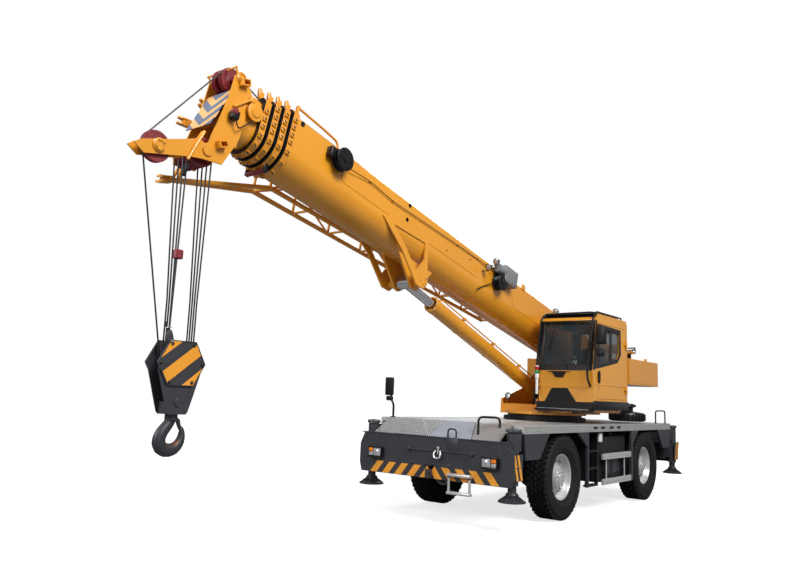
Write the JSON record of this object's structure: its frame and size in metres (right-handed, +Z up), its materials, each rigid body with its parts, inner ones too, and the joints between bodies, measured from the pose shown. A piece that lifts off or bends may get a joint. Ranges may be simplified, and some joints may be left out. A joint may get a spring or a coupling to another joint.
{
  "type": "rough-terrain mobile crane",
  "caption": "Two-axle rough-terrain crane with operator's cab, slewing turret, telescopic boom, stowed lattice jib, hook block and outriggers.",
  "frame": {"origin": "on the ground under the slewing axis, midway between the axles", "axes": "+X forward, +Y to the crane's left, +Z up"},
  "size_m": [12.6424, 2.945, 5.4267],
  "materials": {
    "frame_paint": "dark slate-grey paint, satin",
    "aluminium": "bare tread plate",
    "black_paint": "black paint",
    "lamp": "clear lens in a pale housing",
    "rubber": "tyre rubber",
    "rim_silver": "silver paint",
    "dark_steel": "dark grey paint",
    "crane_yellow": "gloss orange-yellow paint",
    "glass": "tinted glass",
    "cab_trim": "seat cloth and trim",
    "sheave_red": "deep red paint",
    "chrome": "hard chrome"
  },
  "bodies": {
    "carrier": {"chassis_frame": "frame_paint", "front_outrigger_box": "frame_paint", "rear_outrigger_box": "frame_paint", "front_bumper": "frame_paint", "rear_bumper": "frame_paint", "front_slope": "aluminium", "deck": "aluminium", "fenders": "frame_paint", "fuel_tank": "frame_paint", "hydraulic_tank": "frame_paint", "ladders": "black_paint", "step_bars": "aluminium", "headlamps": "lamp", "handrails": "black_paint", "front_axle": "frame_paint", "rear_axle": "frame_paint", "driveline": "frame_paint", "engine_block": "frame_paint", "slew_ring": "black_paint"},
    "steer_fl": {"knuckle_fl": "frame_paint"},
    "wheel_fl": {"tyre_fl": "rubber", "rim_fl": "rim_silver"},
    "steer_fr": {"knuckle_fr": "frame_paint"},
    "wheel_fr": {"tyre_fr": "rubber", "rim_fr": "rim_silver"},
    "steer_rl": {"knuckle_rl": "frame_paint"},
    "wheel_rl": {"tyre_rl": "rubber", "rim_rl": "rim_silver"},
    "steer_rr": {"knuckle_rr": "frame_paint"},
    "wheel_rr": {"tyre_rr": "rubber", "rim_rr": "rim_silver"},
    "outrigger_fl": {"beam_fl": "frame_paint"},
    "float_fl": {"jack_fl": "dark_steel"},
    "outrigger_fr": {"beam_fr": "frame_paint"},
    "float_fr": {"jack_fr": "dark_steel"},
    "outrigger_rl": {"beam_rl": "frame_paint"},
    "float_rl": {"jack_rl": "dark_steel"},
    "outrigger_rr": {"beam_rr": "frame_paint"},
    "float_rr": {"jack_rr": "dark_steel"},
    "turret": {"turret_frame": "crane_yellow", "counterweight": "crane_yellow", "winch": "crane_yellow", "cab_shell": "crane_yellow", "cab_glass": "glass", "cab_guard": "black_paint", "cab_interior": "cab_trim"},
    "door": {"cab_door": "crane_yellow", "door_glass": "glass"},
    "boom": {"boom_base": "crane_yellow", "jib": "crane_yellow"},
    "section_2": {"boom_section_2": "crane_yellow"},
    "section_3": {"boom_section_3": "crane_yellow"},
    "section_4": {"boom_section_4": "crane_yellow"},
    "section_5": {"boom_section_5": "crane_yellow", "boom_sheaves": "sheave_red"},
    "lift_barrel": {"lift_barrel": "crane_yellow"},
    "lift_rod": {"lift_rod": "chrome"},
    "falls": {"hoist_falls": "dark_steel"},
    "block": {"hook_block": "dark_steel"},
    "hook": {"hook": "dark_steel"}
  },
  "joints": [
    {"name": "steering_fl", "type": "hinge", "parent": "carrier", "child": "steer_fl", "pos_m": [1.84, 0.84, 0.65], "axis": [0, 0, 1], "range_deg": [-28, 28]},
    {"name": "wheel_spin_fl", "type": "hinge", "parent": "steer_fl", "child": "wheel_fl", "pos_m": [1.84, 1.09, 0.65], "axis": [0, 1, 0], "continuous": true},
    {"name": "steering_fr", "type": "hinge", "parent": "carrier", "child": "steer_fr", "pos_m": [1.84, -0.84, 0.65], "axis": [0, 0, 1], "range_deg": [-28, 28]},
    {"name": "wheel_spin_fr", "type": "hinge", "parent": "steer_fr", "child": "wheel_fr", "pos_m": [1.84, -1.09, 0.65], "axis": [0, 1, 0], "continuous": true},
    {"name": "steering_rl", "type": "hinge", "parent": "carrier", "child": "steer_rl", "pos_m": [-1.84, 0.84, 0.65], "axis": [0, 0, 1], "range_deg": [-28, 28]},
    {"name": "wheel_spin_rl", "type": "hinge", "parent": "steer_rl", "child": "wheel_rl", "pos_m": [-1.84, 1.09, 0.65], "axis": [0, 1, 0], "continuous": true},
    {"name": "steering_rr", "type": "hinge", "parent": "carrier", "child": "steer_rr", "pos_m": [-1.84, -0.84, 0.65], "axis": [0, 0, 1], "range_deg": [-28, 28]},
    {"name": "wheel_spin_rr", "type": "hinge", "parent": "steer_rr", "child": "wheel_rr", "pos_m": [-1.84, -1.09, 0.65], "axis": [0, 1, 0], "continuous": true},
    {"name": "outrigger_out_fl", "type": "slide", "parent": "carrier", "child": "outrigger_fl", "axis": [0, 1, 0], "range_m": [0, 1.8]},
    {"name": "jack_down_fl", "type": "slide", "parent": "outrigger_fl", "child": "float_fl", "axis": [0, 0, -1], "range_m": [0, 0.5]},
    {"name": "outrigger_out_fr", "type": "slide", "parent": "carrier", "child": "outrigger_fr", "axis": [0, -1, 0], "range_m": [0, 1.8]},
    {"name": "jack_down_fr", "type": "slide", "parent": "outrigger_fr", "child": "float_fr", "axis": [0, 0, -1], "range_m": [0, 0.5]},
    {"name": "outrigger_out_rl", "type": "slide", "parent": "carrier", "child": "outrigger_rl", "axis": [0, 1, 0], "range_m": [0, 1.8]},
    {"name": "jack_down_rl", "type": "slide", "parent": "outrigger_rl", "child": "float_rl", "axis": [0, 0, -1], "range_m": [0, 0.5]},
    {"name": "outrigger_out_rr", "type": "slide", "parent": "carrier", "child": "outrigger_rr", "axis": [0, -1, 0], "range_m": [0, 1.8]},
    {"name": "jack_down_rr", "type": "slide", "parent": "outrigger_rr", "child": "float_rr", "axis": [0, 0, -1], "range_m": [0, 0.5]},
    {"name": "slew", "type": "hinge", "parent": "carrier", "child": "turret", "pos_m": [0, 0, 1.56], "axis": [0, 0, 1], "continuous": true},
    {"name": "cab_door_open", "type": "hinge", "parent": "turret", "child": "door", "pos_m": [-0.726, 1.304, 2.4], "axis": [0, 0, 1], "range_deg": [0, 80]},
    {"name": "boom_lift", "type": "hinge", "parent": "turret", "child": "boom", "pos_m": [-1.557, -0.25, 2.574], "axis": [0, -1, 0], "range_deg": [-12.5, 67.5]},
    {"name": "lift_barrel_swing", "type": "hinge", "parent": "turret", "child": "lift_barrel", "pos_m": [-0.717, -0.25, 1.8], "axis": [0, -1, 0], "range_deg": [-13, 68]},
    {"name": "lift_rod_out", "type": "slide", "parent": "lift_barrel", "child": "lift_rod", "axis": [0.9455, 0, 0.3256], "range_m": [-0.25, 1.3]},
    {"name": "telescope_2", "type": "slide", "parent": "boom", "child": "section_2", "axis": [0.9763, 0, 0.2164], "range_m": [0, 6.5]},
    {"name": "telescope_3", "type": "slide", "parent": "section_2", "child": "section_3", "axis": [0.9763, 0, 0.2164], "range_m": [0, 6.5]},
    {"name": "telescope_4", "type": "slide", "parent": "section_3", "child": "section_4", "axis": [0.9763, 0, 0.2164], "range_m": [0, 6.5]},
    {"name": "telescope_5", "type": "slide", "parent": "section_4", "child": "section_5", "axis": [0.9763, 0, 0.2164], "range_m": [0, 6.5]},
    {"name": "hook_hang", "type": "hinge", "parent": "section_5", "child": "falls", "pos_m": [8.01376, -0.25, 4.31168], "axis": [0, -1, 0], "range_deg": [-68, 13]},
    {"name": "hoist", "type": "slide", "parent": "falls", "child": "block", "axis": [0, 0, 1], "range_m": [0, 1.5], "deforming": ["hoist_falls"]},
    {"name": "hook_swivel", "type": "hinge", "parent": "block", "child": "hook", "pos_m": [8.01376, -0.25, 1.58], "axis": [0, 0, 1], "continuous": true}
  ],
  "couplings": [
    {"joint": "steering_fr", "follows": "steering_fl", "ratio": 1},
    {"joint": "steering_rr", "follows": "steering_rl", "ratio": 1},
    {"joint": "lift_barrel_swing", "follows": "boom_lift", "ratio": 1},
    {"joint": "lift_rod_out", "follows": "boom_lift", "m_per_rad": 1.074},
    {"joint": "telescope_3", "follows": "telescope_2", "ratio": 1},
    {"joint": "telescope_4", "follows": "telescope_2", "ratio": 1},
    {"joint": "telescope_5", "follows": "telescope_2", "ratio": 1},
    {"joint": "hook_hang", "follows": "boom_lift", "ratio": -1}
  ]
}
